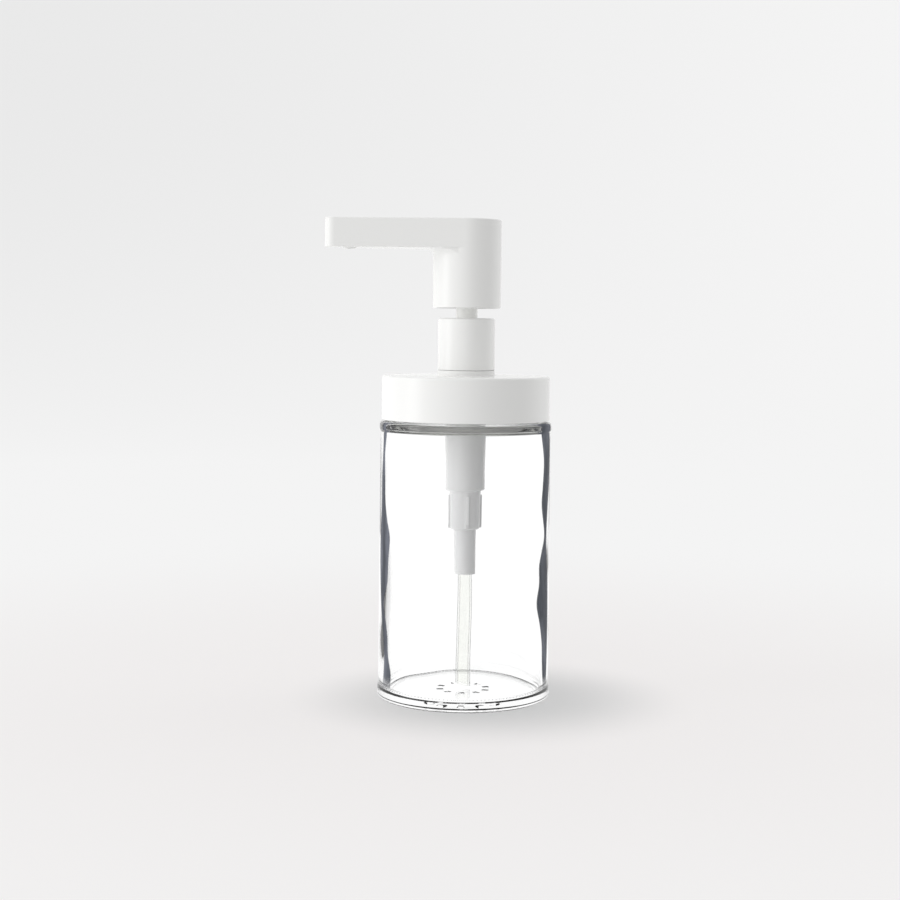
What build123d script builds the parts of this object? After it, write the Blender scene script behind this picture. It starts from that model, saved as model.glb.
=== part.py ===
from build123d import *
import math
import os

# Soap pump dispenser: a clear glass bottle, a wide screw cap and a press-down pump.
# Millimetres. The origin is on the axis, at the level the bottle stands on. +Z is up and the
# spout points along -X. Each piece is in its place at rest: cap screwed tight, pump up.

os.makedirs("parts", exist_ok=True)

# ---- Clearances ----
RUNNING = 0.05          # radial gap of a piece that slides or turns inside another
SNUG = 0.02             # radial gap of a pressed or snapped fit
SEAT_GAP = 0.05         # gap between faces of separate moving groups that close on each other
LOOSE = 0.25            # radial gap where a piece only passes through

# ---- Common small sizes ----
EDGE = 0.3              # rounding of a moulded edge
FINE_EDGE = 0.2         # rounding of a thin or hidden edge
JOIN = 0.3              # how far one part of a moulding runs into the next
CUT = 1.0               # how far a cut runs past the face that it opens

# ---- Glass bottle ----
BOTTLE_D = 70.0         # outside, at the heel and at the shoulder ring
SHOULDER_Z = 111.6      # top of the shoulder, where the neck starts
GLASS_WALL = 3.0
GLASS_FLOOR = 3.0
HEEL_ROUND = 1.8
FOOT_WIDTH = 2.0        # flat ring that the bottle stands on
PUSH_UP = 1.0           # hollow under the base
PANEL_DEPTH = 0.4       # how far the body stands back from the heel and the ring
PANEL_START_Z = 4.0
PANEL_RUN_IN = 2.0      # height of the slope between heel and panel
RING_H = 3.7            # shoulder ring
RING_RUN_IN = 1.5       # height of the slope between panel and ring
RING_EDGE = 1.6
RIM_EDGE = 0.8
INSIDE_SHOULDER_DROP = 3.4  # height of the slope inside, from neck bore to body
INSIDE_NECK_ROUND = 2.4
INSIDE_SHOULDER_ROUND = 1.5
INSIDE_HEEL_ROUND = 3.0
NECK_STEP = 5.4         # from the bottle's outside in to the neck's
NECK_WALL = 3.2
NECK_H = 14.5

# ---- Screw thread between neck and closure ----
THREAD_PITCH = 4.0
THREAD_DEPTH = 1.2
THREAD_ROOT_W = 1.9
THREAD_CREST_W = 0.9
THREAD_SINK = 0.4       # how far the thread's root runs into its wall
THREAD_GAP = 0.3        # radial gap between a crest and the wall that it faces
THREAD_PLAY = 0.25      # axial gap between the flanks at rest
NECK_THREAD_TURNS = 1.2
CLOSURE_THREAD_TURNS = 1.1
THREAD_START = 6.2      # from the shoulder to the middle of the neck thread's lower end

# ---- Cap ----
CAP_LIFT = 0.5          # from the shoulder to the cap's lower edge
CAP_WALL = 1.5
CAP_ROOF = 1.3
CAP_EDGE_ROUND = 1.0
BOSS_STAND = 0.05       # how much wider the raised ring on the cap's top is than the collar
BOSS_H = 2.2
CLOSURE_WALL = 1.55
CLOSURE_ROOF = 1.2
CLOSURE_STEP_UP = 0.5   # from the cap's lower edge to the closure's
NECK_GASKET_T = 1.35
NECK_GASKET_LIP = 0.8   # how far the gasket reaches inside the neck's bore

# ---- Pump housing ----
PUMP_BORE_D = 14.1
HOUSING_NECK_WALL = 1.85
FLANGE_W = 3.6          # how far the flange stands out from the neck
FLANGE_T = 1.6
FLANGE_GASKET_T = 0.8
BARREL_TOP_WALL = 1.45  # upper barrel, under the flange
BARREL_LOW_WALL = 1.25  # upper barrel, at its lower end
BARREL_L = 41.5
BARREL_FOOT_ROUND = 0.7
STEP_T = 1.4            # floor between the upper barrel and the valve chamber
CHAMBER_STEP = 1.73     # how far the valve chamber stands back from the barrel above it
CHAMBER_WALL = 1.37
CHAMBER_L = 15.9
CHAMBER_TAPER = 0.17
CHAMBER_FOOT_ROUND = 0.9
VALVE_HOLE_D = 4.0
SEAT_HOLE_L = 1.5
SEAT_FLOOR = 1.1        # from the chamber's outside foot down to the seat's hole
SOCKET_STEP = 1.6       # how far the tube socket stands back from the chamber above it
SOCKET_TAPER = 0.3
SOCKET_L = 18.2
RIB_COUNT = 4
RIB_W = 1.2
RIB_STAND = 0.5
RIB_L = 13.4
RIB_DROP = 2.0          # from the barrel's foot down to the ribs' tops
RIB_TURN = 0.0          # degrees from the front
VENT_D = 1.2

# ---- Collar and stem guide ----
COLLAR_ROOM = 1.35      # radial room between the housing's neck and the collar
COLLAR_H = 21.1
COLLAR_WALL = 1.4
COLLAR_TOP_T = 1.6
COLLAR_EDGE_ROUND = 0.9
COLLAR_HOLE_GAP = 0.5
HOLD_RING_W = 1.4
HOLD_RING_H = 4.6
GROOVE_DEPTH = 0.4
GROOVE_H = 2.1
GROOVE_UP = 5.4         # from the collar's lower edge to the groove
SNAP_RIB_H = 1.6
GUIDE_L = 19.7
GUIDE_FLANGE_T = 1.2

# ---- Stem, piston, rod, spring ----
STROKE = 15.0           # travel of the head
STEM_D = 8.8
STEM_BORE_D = 3.4
STEM_GAP = 1.0          # between the piston's top and the stem's lower end
FLUTE_COUNT = 3
FLUTE_D = 1.1
FLUTE_L = 4.0
STEM_WALL = 1.38        # around the rod
ROD_BORE_D = 2.8
ROD_FLANGE_ROOM = 0.85  # radial room between the rod's flange and the bore
ROD_FLANGE_T = 1.5
ROD_ABOVE_PISTON = 8.0  # how far the rod stands up into the stem
ROD_PORT_D = 1.6
PISTON_L = 8.0
PISTON_WAIST = 0.8      # how far the piston's middle stands back from its lips
PISTON_LIP = 0.9
TOP_STOP_GAP = 0.3      # between the piston and the guide with the pump up
WIRE_D = 1.0
SPRING_ROOM = 0.95      # radial room between the spring and the bore
SPRING_TURNS = 8

# ---- Valve balls ----
INLET_BALL_D = 6.0
INLET_LIFT = 2.0
OUTLET_BALL_D = 4.0
OUTLET_LIFT = 1.5
OUTLET_SEAT_D = 4.8     # mouth of the cone at the rod's top
BALL_SEAT_GAP = 0.04
BALL_TOP_GAP = 0.4
CAGE_WALL = 0.95
CAGE_FLANGE_T = 1.0
CAGE_BAR_W = 1.2

# ---- Dip tube ----
TUBE_D = 6.0
TUBE_WALL = 0.8
TUBE_FLOOR_GAP = 0.9
TUBE_CUT_ANGLE = 12.0

# ---- Head with spout ----
HEAD_ROOM = 0.6         # radial room between the collar and the head's skirt
HEAD_DRAFT = 0.2        # how much smaller the head's lower edge is, in radius
HEAD_H = 36.0
HEAD_GAP = 4.1          # stem that shows between the collar and the head
HEAD_WALL = 1.75
HEAD_ROOF = 1.6
HEAD_EDGE_ROUND = 0.6
SPOUT_H = 11.9
SPOUT_REACH = 58.0      # from the axis to the spout's tip
SPOUT_NOSE_D = 8.2
SPOUT_WALL = 1.5
SPOUT_ROOT_ROUND = 3.0
UNDERPLATE_T = 1.4
UNDERPLATE_RIM = 0.9    # wall left around the plate
UNDERPLATE_GAP = 0.5    # from the root's rounding to the plate's edge
PRESS_MARGIN = 1.1      # between the socket and the collar with the head pressed
SOCKET_WALL = 1.98
SOCKET_ROOF = 1.2
SOCKET_DISC_UP = 5.0
SOCKET_DISC_T = 1.5
SOCKET_RIB_COUNT = 4
SOCKET_RIB_W = 1.0
SOCKET_RIB_H = 4.0
RISER_WALL = 2.4
NIPPLE_L = 8.0
NIPPLE_WALL = 0.7
SPOUT_TUBE_WALL = 0.9
SPOUT_TUBE_PLAY = 0.3
OUTLET_INSET = 10.0     # from the spout's tip to the outlet's axis
OUTLET_TUBE_WALL = 1.0
NOZZLE_WALL = 0.7       # around the nozzle's bore
NOZZLE_FLANGE_STEP = 0.4  # how far the nozzle's flange stands back from the spout tube's outside
NOZZLE_PROUD = 0.6      # how far the nozzle stands out under the spout
NOZZLE_SPIGOT_L = 2.0

# ---- Radii and levels that follow from the sizes above ----
bottle_r = BOTTLE_D / 2
panel_r = bottle_r - PANEL_DEPTH
inside_r = panel_r - GLASS_WALL
neck_r = bottle_r - NECK_STEP
neck_bore_r = neck_r - NECK_WALL
rim_z = SHOULDER_Z + NECK_H

# At rest the closure's thread sits below the neck's by one flank-to-flank contact plus the play.
thread_flank = (THREAD_ROOT_W - THREAD_CREST_W) / 2
thread_mesh = THREAD_CREST_W + thread_flank * (1 - THREAD_GAP / THREAD_DEPTH) + THREAD_PLAY

pump_bore_r = PUMP_BORE_D / 2
housing_r = pump_bore_r + HOUSING_NECK_WALL
flange_r = housing_r + FLANGE_W
collar_inside_r = housing_r + COLLAR_ROOM
collar_r = collar_inside_r + COLLAR_WALL
boss_r = collar_r + BOSS_STAND
cap_hole_r = housing_r + LOOSE

closure_bore_r = neck_r + THREAD_DEPTH + THREAD_GAP
closure_r = closure_bore_r + CLOSURE_WALL
cap_r = closure_r + SNUG + CAP_WALL
cap_bottom_z = SHOULDER_Z + CAP_LIFT
closure_roof_z = rim_z + SEAT_GAP + NECK_GASKET_T
cover_roof_z = closure_roof_z + CLOSURE_ROOF
cap_top_z = cover_roof_z + CAP_ROOF
boss_top_z = cap_top_z + BOSS_H

collar_bottom_z = boss_top_z + 2 * SEAT_GAP
collar_top_z = collar_bottom_z + COLLAR_H
guide_top_z = collar_top_z - COLLAR_TOP_T - HOLD_RING_H
housing_top_z = guide_top_z - GUIDE_FLANGE_T
guide_bottom_z = housing_top_z - GUIDE_L
groove_z = collar_bottom_z + GROOVE_UP

flange_top_z = closure_roof_z - 2 * SEAT_GAP - FLANGE_GASKET_T
flange_z = flange_top_z - FLANGE_T
barrel_foot_z = flange_z - BARREL_L
bore_floor_z = barrel_foot_z + STEP_T
chamber_r = pump_bore_r + BARREL_LOW_WALL - CHAMBER_STEP
chamber_bore_r = chamber_r - CHAMBER_WALL
chamber_foot_z = barrel_foot_z - CHAMBER_L
seat_z = chamber_foot_z - SEAT_FLOOR
socket_roof_z = seat_z - SEAT_HOLE_L
socket_r = chamber_r - CHAMBER_TAPER - SOCKET_STEP
socket_foot_z = chamber_foot_z - SOCKET_L
tube_r = TUBE_D / 2
tube_foot_z = GLASS_FLOOR + TUBE_FLOOR_GAP

piston_top_z = guide_bottom_z - TOP_STOP_GAP
piston_foot_z = piston_top_z - PISTON_L
rod_flange_top_z = piston_foot_z - SEAT_GAP
rod_foot_z = rod_flange_top_z - ROD_FLANGE_T
rod_top_z = piston_top_z + ROD_ABOVE_PISTON
stem_r = STEM_D / 2
stem_foot_z = piston_top_z + STEM_GAP
rod_r = stem_r - STEM_WALL - SNUG
rod_flange_r = pump_bore_r - ROD_FLANGE_ROOM

inlet_ball_r = INLET_BALL_D / 2
outlet_ball_r = OUTLET_BALL_D / 2
inlet_ball_z = seat_z - VALVE_HOLE_D / 2 + (inlet_ball_r + BALL_SEAT_GAP) * math.sqrt(2)
outlet_ball_z = rod_top_z - OUTLET_SEAT_D / 2 + (outlet_ball_r + BALL_SEAT_GAP) * math.sqrt(2)
cage_foot_z = inlet_ball_z + inlet_ball_r + INLET_LIFT + BALL_TOP_GAP
cage_top_z = bore_floor_z + CAGE_FLANGE_T
ball_room_top_z = outlet_ball_z + outlet_ball_r + OUTLET_LIFT + BALL_TOP_GAP

head_inside_r = collar_r + HEAD_ROOM
head_r = head_inside_r + HEAD_WALL
head_bottom_z = collar_top_z + HEAD_GAP
head_top_z = head_bottom_z + HEAD_H
head_roof_z = head_top_z - HEAD_ROOF
spout_bottom_z = head_top_z - SPOUT_H
nose_x = -(SPOUT_REACH - SPOUT_NOSE_D / 2)
underplate_top_z = spout_bottom_z + UNDERPLATE_T
underplate_x = -(head_r + SPOUT_ROOT_ROUND + UNDERPLATE_GAP)
spout_tube_r = SPOUT_NOSE_D / 2 - SPOUT_WALL + SPOUT_TUBE_PLAY
spout_tube_bore_r = spout_tube_r - SPOUT_TUBE_WALL
channel_z = underplate_top_z + SPOUT_TUBE_PLAY + spout_tube_r
outlet_x = -(SPOUT_REACH - OUTLET_INSET)
outlet_bore_r = spout_tube_r - OUTLET_TUBE_WALL
nozzle_bore_r = outlet_bore_r - NOZZLE_WALL
nozzle_flange_r = spout_tube_r - NOZZLE_FLANGE_STEP
socket_bottom_z = collar_top_z + STROKE + PRESS_MARGIN
disc_z = socket_bottom_z + SOCKET_DISC_UP
shoulder_z = channel_z - spout_tube_r - 2 * SEAT_GAP
stem_top_z = shoulder_z - SOCKET_ROOF
riser_r = spout_tube_bore_r + RISER_WALL


def lathe(*outline):
    """Turn an outline of (radius, height, corner rounding) points around the axis."""
    corners = [(point[0], 0, point[1]) for point in outline]
    rounds = [point[2] if len(point) > 2 else 0 for point in outline]
    line = FilletPolyline(*corners, radius=rounds, close=True)
    return revolve(make_face(line.edges()), axis=Axis.Z)


def drum(radius, low, high, x=0.0):
    """Upright solid cylinder."""
    upright = (Align.CENTER, Align.CENTER, Align.MIN)
    return Pos(x, 0, low) * Cylinder(radius, high - low, align=upright)


def ring(inner, outer, low, high, x=0.0):
    """Upright tube."""
    return drum(outer, low, high, x) - drum(inner, low, high, x)


def rail(radius, start, end, height):
    """Level cylinder along -X, from start to end."""
    along = (Align.CENTER, Align.CENTER, Align.MIN)
    return Pos(start, 0, height) * Rot(0, -90, 0) * Cylinder(radius, start - end, align=along)


def block(x_low, x_high, y_low, y_high, z_low, z_high):
    """Box between two corners."""
    corner = (Align.MIN, Align.MIN, Align.MIN)
    size = Box(x_high - x_low, y_high - y_low, z_high - z_low, align=corner)
    return Pos(x_low, y_low, z_low) * size


def thread(wall_r, crest_r, middle_z, turns):
    """Right-hand thread that stands from a wall to its crest radius."""
    side = 1 if crest_r > wall_r else -1
    depth = abs(crest_r - wall_r)
    sunk_r = wall_r - side * THREAD_SINK
    sunk_half = THREAD_ROOT_W / 2 + thread_flank * THREAD_SINK / depth
    section = Polyline(
        (sunk_r, 0, middle_z - sunk_half),
        (crest_r, 0, middle_z - THREAD_CREST_W / 2),
        (crest_r, 0, middle_z + THREAD_CREST_W / 2),
        (sunk_r, 0, middle_z + sunk_half),
        close=True,
    )
    path = Helix(THREAD_PITCH, THREAD_PITCH * turns, crest_r, center=(0, 0, middle_z))
    return sweep(make_face(section.edges()), path=path, is_frenet=True)


def head_plan(inset):
    """Plan of the head from above: the round head and the round nose, joined by tangents."""
    head = Circle(head_r - inset)
    nose = Pos(nose_x, 0) * Circle(SPOUT_NOSE_D / 2 - inset)
    return make_hull(head.edges() + nose.edges())


def head_slab(inset, low, high):
    """The head's plan raised between two levels."""
    return extrude(Pos(0, 0, low) * head_plan(inset), amount=high - low)


# ---- Bottle ----

def glass_bottle():
    """Bottle with heel, standing ring, recessed body, shoulder ring and threaded neck."""
    foot_r = bottle_r - HEEL_ROUND - FOOT_WIDTH
    ring_z = SHOULDER_Z - RING_H
    blank = lathe(
        (0, PUSH_UP),
        (foot_r - 2 * PUSH_UP, PUSH_UP, PUSH_UP),
        (foot_r, 0),
        (bottle_r, 0, HEEL_ROUND),
        (bottle_r, PANEL_START_Z, PANEL_RUN_IN),
        (panel_r, PANEL_START_Z + PANEL_RUN_IN, PANEL_RUN_IN),
        (panel_r, ring_z - RING_RUN_IN, RING_RUN_IN / 2),
        (bottle_r, ring_z, RING_RUN_IN / 2),
        (bottle_r, SHOULDER_Z, RING_EDGE),
        (neck_r, SHOULDER_Z, RIM_EDGE),
        (neck_r, rim_z, RIM_EDGE),
        (neck_bore_r, rim_z, RIM_EDGE),
        (neck_bore_r, SHOULDER_Z, INSIDE_NECK_ROUND),
        (inside_r, SHOULDER_Z - INSIDE_SHOULDER_DROP, INSIDE_SHOULDER_ROUND),
        (inside_r, GLASS_FLOOR, INSIDE_HEEL_ROUND),
        (0, GLASS_FLOOR),
    )
    middle_z = SHOULDER_Z + THREAD_START
    return blank + thread(neck_r, neck_r + THREAD_DEPTH, middle_z, NECK_THREAD_TURNS)


# ---- Cap ----

def cap_cover():
    """Smooth outer shell of the cap, with the raised ring around its hole."""
    return lathe(
        (cap_hole_r, cover_roof_z),
        (cap_hole_r, boss_top_z, FINE_EDGE),
        (boss_r, boss_top_z, EDGE),
        (boss_r, cap_top_z, EDGE),
        (cap_r, cap_top_z, CAP_EDGE_ROUND),
        (cap_r, cap_bottom_z, EDGE),
        (cap_r - CAP_WALL, cap_bottom_z, FINE_EDGE),
        (cap_r - CAP_WALL, cover_roof_z),
    )


def closure():
    """Threaded inner cap that the cover snaps over."""
    blank = lathe(
        (cap_hole_r, closure_roof_z),
        (cap_hole_r, cover_roof_z),
        (closure_r, cover_roof_z),
        (closure_r, cap_bottom_z + CLOSURE_STEP_UP, EDGE),
        (closure_bore_r, cap_bottom_z + CLOSURE_STEP_UP, EDGE),
        (closure_bore_r, closure_roof_z),
    )
    middle_z = SHOULDER_Z + THREAD_START - thread_mesh
    return blank + thread(closure_bore_r, neck_r + THREAD_GAP, middle_z, CLOSURE_THREAD_TURNS)


def neck_gasket():
    """Flat seal between the glass rim and the closure."""
    low = rim_z + SEAT_GAP
    return ring(neck_bore_r - NECK_GASKET_LIP, closure_bore_r - SNUG, low, closure_roof_z)


# ---- Pump housing and what is fixed in it ----

def pump_housing():
    """Stepped pump body: neck, flange, barrel, ribbed valve chamber and tube socket."""
    cone = chamber_bore_r - VALVE_HOLE_D / 2
    body = lathe(
        (tube_r, socket_foot_z),
        (tube_r, socket_roof_z),
        (VALVE_HOLE_D / 2, socket_roof_z),
        (VALVE_HOLE_D / 2, seat_z),
        (chamber_bore_r, seat_z + cone),
        (chamber_bore_r, bore_floor_z),
        (pump_bore_r, bore_floor_z),
        (pump_bore_r, housing_top_z),
        (housing_r, housing_top_z, EDGE),
        (housing_r, groove_z + GROOVE_H),
        (housing_r - GROOVE_DEPTH, groove_z + GROOVE_H),
        (housing_r - GROOVE_DEPTH, groove_z),
        (housing_r, groove_z),
        (housing_r, flange_top_z),
        (flange_r, flange_top_z, EDGE),
        (flange_r, flange_z, EDGE),
        (pump_bore_r + BARREL_TOP_WALL, flange_z, EDGE),
        (pump_bore_r + BARREL_LOW_WALL, barrel_foot_z, BARREL_FOOT_ROUND),
        (chamber_r, barrel_foot_z, FINE_EDGE),
        (chamber_r - CHAMBER_TAPER, chamber_foot_z, CHAMBER_FOOT_ROUND),
        (socket_r, chamber_foot_z, FINE_EDGE),
        (socket_r - SOCKET_TAPER, socket_foot_z, EDGE),
    )
    rib_top_z = barrel_foot_z - RIB_DROP
    rib = block(chamber_bore_r + CHAMBER_WALL / 2, chamber_r + RIB_STAND, -RIB_W / 2, RIB_W / 2,
                rib_top_z - RIB_L, rib_top_z)
    for index in range(RIB_COUNT):
        body += Rot(0, 0, RIB_TURN - 90 + index * 360 / RIB_COUNT) * rib
    vent_z = (piston_top_z + piston_foot_z) / 2
    return body - rail(VENT_D / 2, -pump_bore_r + CUT, -housing_r - CUT, vent_z)


def housing_gasket():
    """Flat seal on the housing's flange."""
    return ring(housing_r + SNUG, flange_r - LOOSE, flange_top_z, flange_top_z + FLANGE_GASKET_T)


def collar():
    """Tall collar that snaps onto the housing's neck and holds the stem guide down."""
    hole_r = stem_r + COLLAR_HOLE_GAP
    plate_z = collar_top_z - COLLAR_TOP_T
    shell = lathe(
        (hole_r, plate_z),
        (hole_r, collar_top_z, EDGE),
        (collar_r, collar_top_z, COLLAR_EDGE_ROUND),
        (collar_r, collar_bottom_z, EDGE),
        (collar_inside_r, collar_bottom_z, FINE_EDGE),
        (collar_inside_r, plate_z),
    )
    rib_z = groove_z + (GROOVE_H - SNAP_RIB_H) / 2
    rib_r = housing_r - GROOVE_DEPTH + SEAT_GAP
    rib = ring(rib_r, collar_inside_r + JOIN, rib_z, rib_z + SNAP_RIB_H)
    hold_r = housing_r - COLLAR_HOLE_GAP
    hold = ring(hold_r - HOLD_RING_W, hold_r, guide_top_z, plate_z + JOIN)
    return shell + rib + hold


def stem_guide():
    """Sleeve in the housing's mouth that the stem slides through, and the piston's top stop."""
    return lathe(
        (stem_r + RUNNING, guide_bottom_z),
        (stem_r + RUNNING, guide_top_z, EDGE),
        (housing_r, guide_top_z, FINE_EDGE),
        (housing_r, housing_top_z),
        (pump_bore_r - SNUG, housing_top_z),
        (pump_bore_r - SNUG, guide_bottom_z, EDGE),
    )


def ball_cage():
    """Cup that keeps the inlet ball down and carries the spring."""
    outer_r = chamber_bore_r - SNUG
    inner_r = outer_r - CAGE_WALL
    body = ring(inner_r, outer_r, cage_foot_z, bore_floor_z)
    body += ring(inner_r, pump_bore_r - 3 * RUNNING, bore_floor_z, cage_top_z)
    bar = block(-inner_r - JOIN, inner_r + JOIN, -CAGE_BAR_W / 2, CAGE_BAR_W / 2,
                cage_foot_z, cage_foot_z + CAGE_BAR_W)
    return body + bar + Rot(0, 0, 90) * bar


def spring():
    """Return spring between the ball cage and the rod's flange."""
    room = rod_foot_z - SEAT_GAP - cage_top_z - WIRE_D
    foot = (0, 0, cage_top_z + WIRE_D / 2)
    mean_r = pump_bore_r - SPRING_ROOM - WIRE_D / 2
    path = Helix(room / SPRING_TURNS, room, mean_r, center=foot)
    start = Plane(origin=path @ 0, z_dir=path % 0)
    return sweep(start * Circle(WIRE_D / 2), path=path, is_frenet=True)


def dip_tube():
    """Suction tube, cut at a slant just above the bottle's floor."""
    tube = ring(tube_r - TUBE_WALL, tube_r - SNUG, tube_foot_z, socket_roof_z - SEAT_GAP)
    knife = block(-BOTTLE_D, BOTTLE_D, -BOTTLE_D, BOTTLE_D, -BOTTLE_D, 0)
    slant_z = tube_foot_z + tube_r * math.tan(math.radians(TUBE_CUT_ANGLE))
    return tube - Pos(0, 0, slant_z) * Rot(0, TUBE_CUT_ANGLE, 0) * knife


def inlet_ball():
    """Ball of the valve between the dip tube and the pump chamber."""
    return Pos(0, 0, inlet_ball_z) * Sphere(inlet_ball_r)


# ---- What moves with the head ----

def piston():
    """Double-lipped piston that slides in the housing's bore."""
    lip_r = pump_bore_r - RUNNING
    bore_r = rod_r + RUNNING
    waist_r = lip_r - PISTON_WAIST
    return lathe(
        (bore_r, piston_foot_z),
        (lip_r, piston_foot_z),
        (lip_r, piston_foot_z + PISTON_LIP),
        (waist_r, piston_foot_z + 2 * PISTON_LIP),
        (waist_r, piston_top_z - 2 * PISTON_LIP),
        (lip_r, piston_top_z - PISTON_LIP),
        (lip_r, piston_top_z),
        (waist_r - PISTON_LIP, piston_top_z),
        (waist_r - 2 * PISTON_LIP, piston_top_z - 2 * PISTON_LIP),
        (bore_r, piston_top_z - 2 * PISTON_LIP),
    )


def piston_rod():
    """Hollow rod pressed into the stem, with the piston's flange and the outlet valve's seat."""
    cone = (OUTLET_SEAT_D - ROD_BORE_D) / 2
    rod = lathe(
        (0, rod_foot_z),
        (rod_flange_r, rod_foot_z, EDGE),
        (rod_flange_r, rod_flange_top_z, EDGE),
        (rod_r, rod_flange_top_z),
        (rod_r, rod_top_z),
        (OUTLET_SEAT_D / 2, rod_top_z),
        (ROD_BORE_D / 2, rod_top_z - cone),
        (ROD_BORE_D / 2, rod_flange_top_z),
        (0, rod_flange_top_z),
    )
    port_z = rod_flange_top_z + ROD_PORT_D
    port = rail(ROD_PORT_D / 2, rod_r + CUT, -rod_r - CUT, port_z)
    return rod - port - Rot(0, 0, 90) * port


def stem():
    """Hollow stem between the rod and the head, with the outlet ball's room."""
    bore_r = STEM_BORE_D / 2
    room_r = rod_r + SNUG
    body = lathe(
        (room_r, stem_foot_z),
        (stem_r, stem_foot_z, EDGE),
        (stem_r, stem_top_z, EDGE),
        (bore_r, stem_top_z),
        (bore_r, ball_room_top_z),
        (room_r, ball_room_top_z),
    )
    flute_top_z = ball_room_top_z + FLUTE_L
    flute = drum(FLUTE_D / 2, ball_room_top_z - JOIN, flute_top_z, x=bore_r + FLUTE_D / 4)
    for index in range(FLUTE_COUNT):
        body -= Rot(0, 0, index * 360 / FLUTE_COUNT) * flute
    return body


def outlet_ball():
    """Ball of the valve on top of the rod."""
    return Pos(0, 0, outlet_ball_z) * Sphere(outlet_ball_r)


def head_cover():
    """Outer shell of the head: open skirt below, teardrop spout above."""
    root_z = spout_bottom_z - SPOUT_ROOT_ROUND
    skirt = lathe(
        (0, head_bottom_z),
        (head_r - HEAD_DRAFT, head_bottom_z, EDGE),
        (head_r, root_z),
        (head_r, spout_bottom_z + HEAD_EDGE_ROUND),
        (0, spout_bottom_z + HEAD_EDGE_ROUND),
    )
    slab = head_slab(0, spout_bottom_z, head_top_z)
    slab = fillet(slab.edges().group_by(Axis.Z)[-1], HEAD_EDGE_ROUND)
    slab = fillet(slab.edges().group_by(Axis.Z)[0], HEAD_EDGE_ROUND / 2)
    root_r = head_r + SPOUT_ROOT_ROUND
    root = drum(root_r, root_z, spout_bottom_z + HEAD_EDGE_ROUND)
    root -= Pos(0, 0, root_z) * Torus(root_r, SPOUT_ROOT_ROUND)
    root &= head_slab(HEAD_EDGE_ROUND / 2, root_z, spout_bottom_z + HEAD_EDGE_ROUND)
    shell = skirt + slab + root
    shell -= drum(head_inside_r, head_bottom_z - CUT, head_roof_z)
    shell -= head_slab(SPOUT_WALL, underplate_top_z, head_roof_z)
    low_z = spout_bottom_z - CUT
    window = block(-SPOUT_REACH, underplate_x, -head_r, head_r, low_z, head_top_z)
    return shell - (head_slab(UNDERPLATE_RIM, low_z, underplate_top_z) & window)


def stem_socket():
    """Disc pressed into the head, with the stem's socket, the riser and the spout tube's nipple."""
    socket_bore_r = stem_r + SNUG
    socket_r = socket_bore_r + SOCKET_WALL
    riser_top_z = channel_z + spout_tube_r
    body = drum(socket_r, socket_bottom_z, shoulder_z)
    body += drum(head_inside_r - SNUG, disc_z, disc_z + SOCKET_DISC_T)
    body += drum(riser_r, shoulder_z, riser_top_z)
    nipple_end = -(riser_r + NIPPLE_L)
    body += rail(spout_tube_bore_r - SNUG, 0, nipple_end, channel_z)
    disc_top_z = disc_z + SOCKET_DISC_T
    rib = block(socket_r - JOIN, head_inside_r - SOCKET_RIB_W, -SOCKET_RIB_W / 2, SOCKET_RIB_W / 2,
                disc_top_z - JOIN, disc_top_z + SOCKET_RIB_H)
    for index in range(SOCKET_RIB_COUNT):
        body += Rot(0, 0, (index + 0.5) * 360 / SOCKET_RIB_COUNT) * rib
    nipple_bore_r = spout_tube_bore_r - NIPPLE_WALL
    body -= drum(socket_bore_r, socket_bottom_z - CUT, stem_top_z)
    body -= drum(nipple_bore_r, stem_top_z - CUT, channel_z)
    body -= Pos(0, 0, channel_z) * Sphere(nipple_bore_r)
    return body - rail(nipple_bore_r, 0, nipple_end - CUT, channel_z)


def spout_tube():
    """Tube inside the spout, from the riser to the down-turned outlet."""
    start = -(riser_r + RUNNING)
    foot_z = underplate_top_z + RUNNING
    body = rail(spout_tube_r, start, outlet_x, channel_z)
    body += drum(spout_tube_r, foot_z, channel_z, x=outlet_x)
    body += Pos(outlet_x, 0, channel_z) * Sphere(spout_tube_r)
    body -= rail(spout_tube_bore_r, start + CUT, outlet_x, channel_z)
    body -= Pos(outlet_x, 0, channel_z) * Sphere(spout_tube_bore_r)
    return body - drum(outlet_bore_r, foot_z - CUT, channel_z, x=outlet_x)


def spout_underplate():
    """Plate that closes the spout from below, with the nozzle's hole."""
    inset = UNDERPLATE_RIM + SNUG
    window = block(-SPOUT_REACH, underplate_x - SNUG, -head_r, head_r, spout_bottom_z, head_top_z)
    plate = head_slab(inset, spout_bottom_z, underplate_top_z - SNUG) & window
    hole_r = nozzle_flange_r + SNUG
    return plate - drum(hole_r, spout_bottom_z - CUT, underplate_top_z + CUT, x=outlet_x)


def nozzle_tip():
    """Outlet bush in the underplate, with a spigot up into the spout tube."""
    low = spout_bottom_z - NOZZLE_PROUD
    body = drum(nozzle_flange_r, low, underplate_top_z, x=outlet_x)
    body = chamfer(body.edges().group_by(Axis.Z)[0], EDGE)
    spigot_top_z = underplate_top_z + NOZZLE_SPIGOT_L
    body += drum(outlet_bore_r - SNUG, underplate_top_z, spigot_top_z, x=outlet_x)
    return body - drum(nozzle_bore_r, low - CUT, channel_z, x=outlet_x)


PIECES = (
    glass_bottle,
    cap_cover,
    closure,
    neck_gasket,
    pump_housing,
    housing_gasket,
    collar,
    stem_guide,
    ball_cage,
    spring,
    dip_tube,
    inlet_ball,
    piston,
    piston_rod,
    stem,
    outlet_ball,
    head_cover,
    stem_socket,
    spout_tube,
    spout_underplate,
    nozzle_tip,
)

for make_piece in PIECES:
    export_step(make_piece(), f"parts/{make_piece.__name__}.step")
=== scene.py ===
"""Soap pump dispenser: the finished look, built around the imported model.

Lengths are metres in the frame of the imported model: the axis is Z, the bottle stands on Z = 0 and
the spout points along -X. Profiles are written in millimetres and turned into metres by MM.
"""

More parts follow.
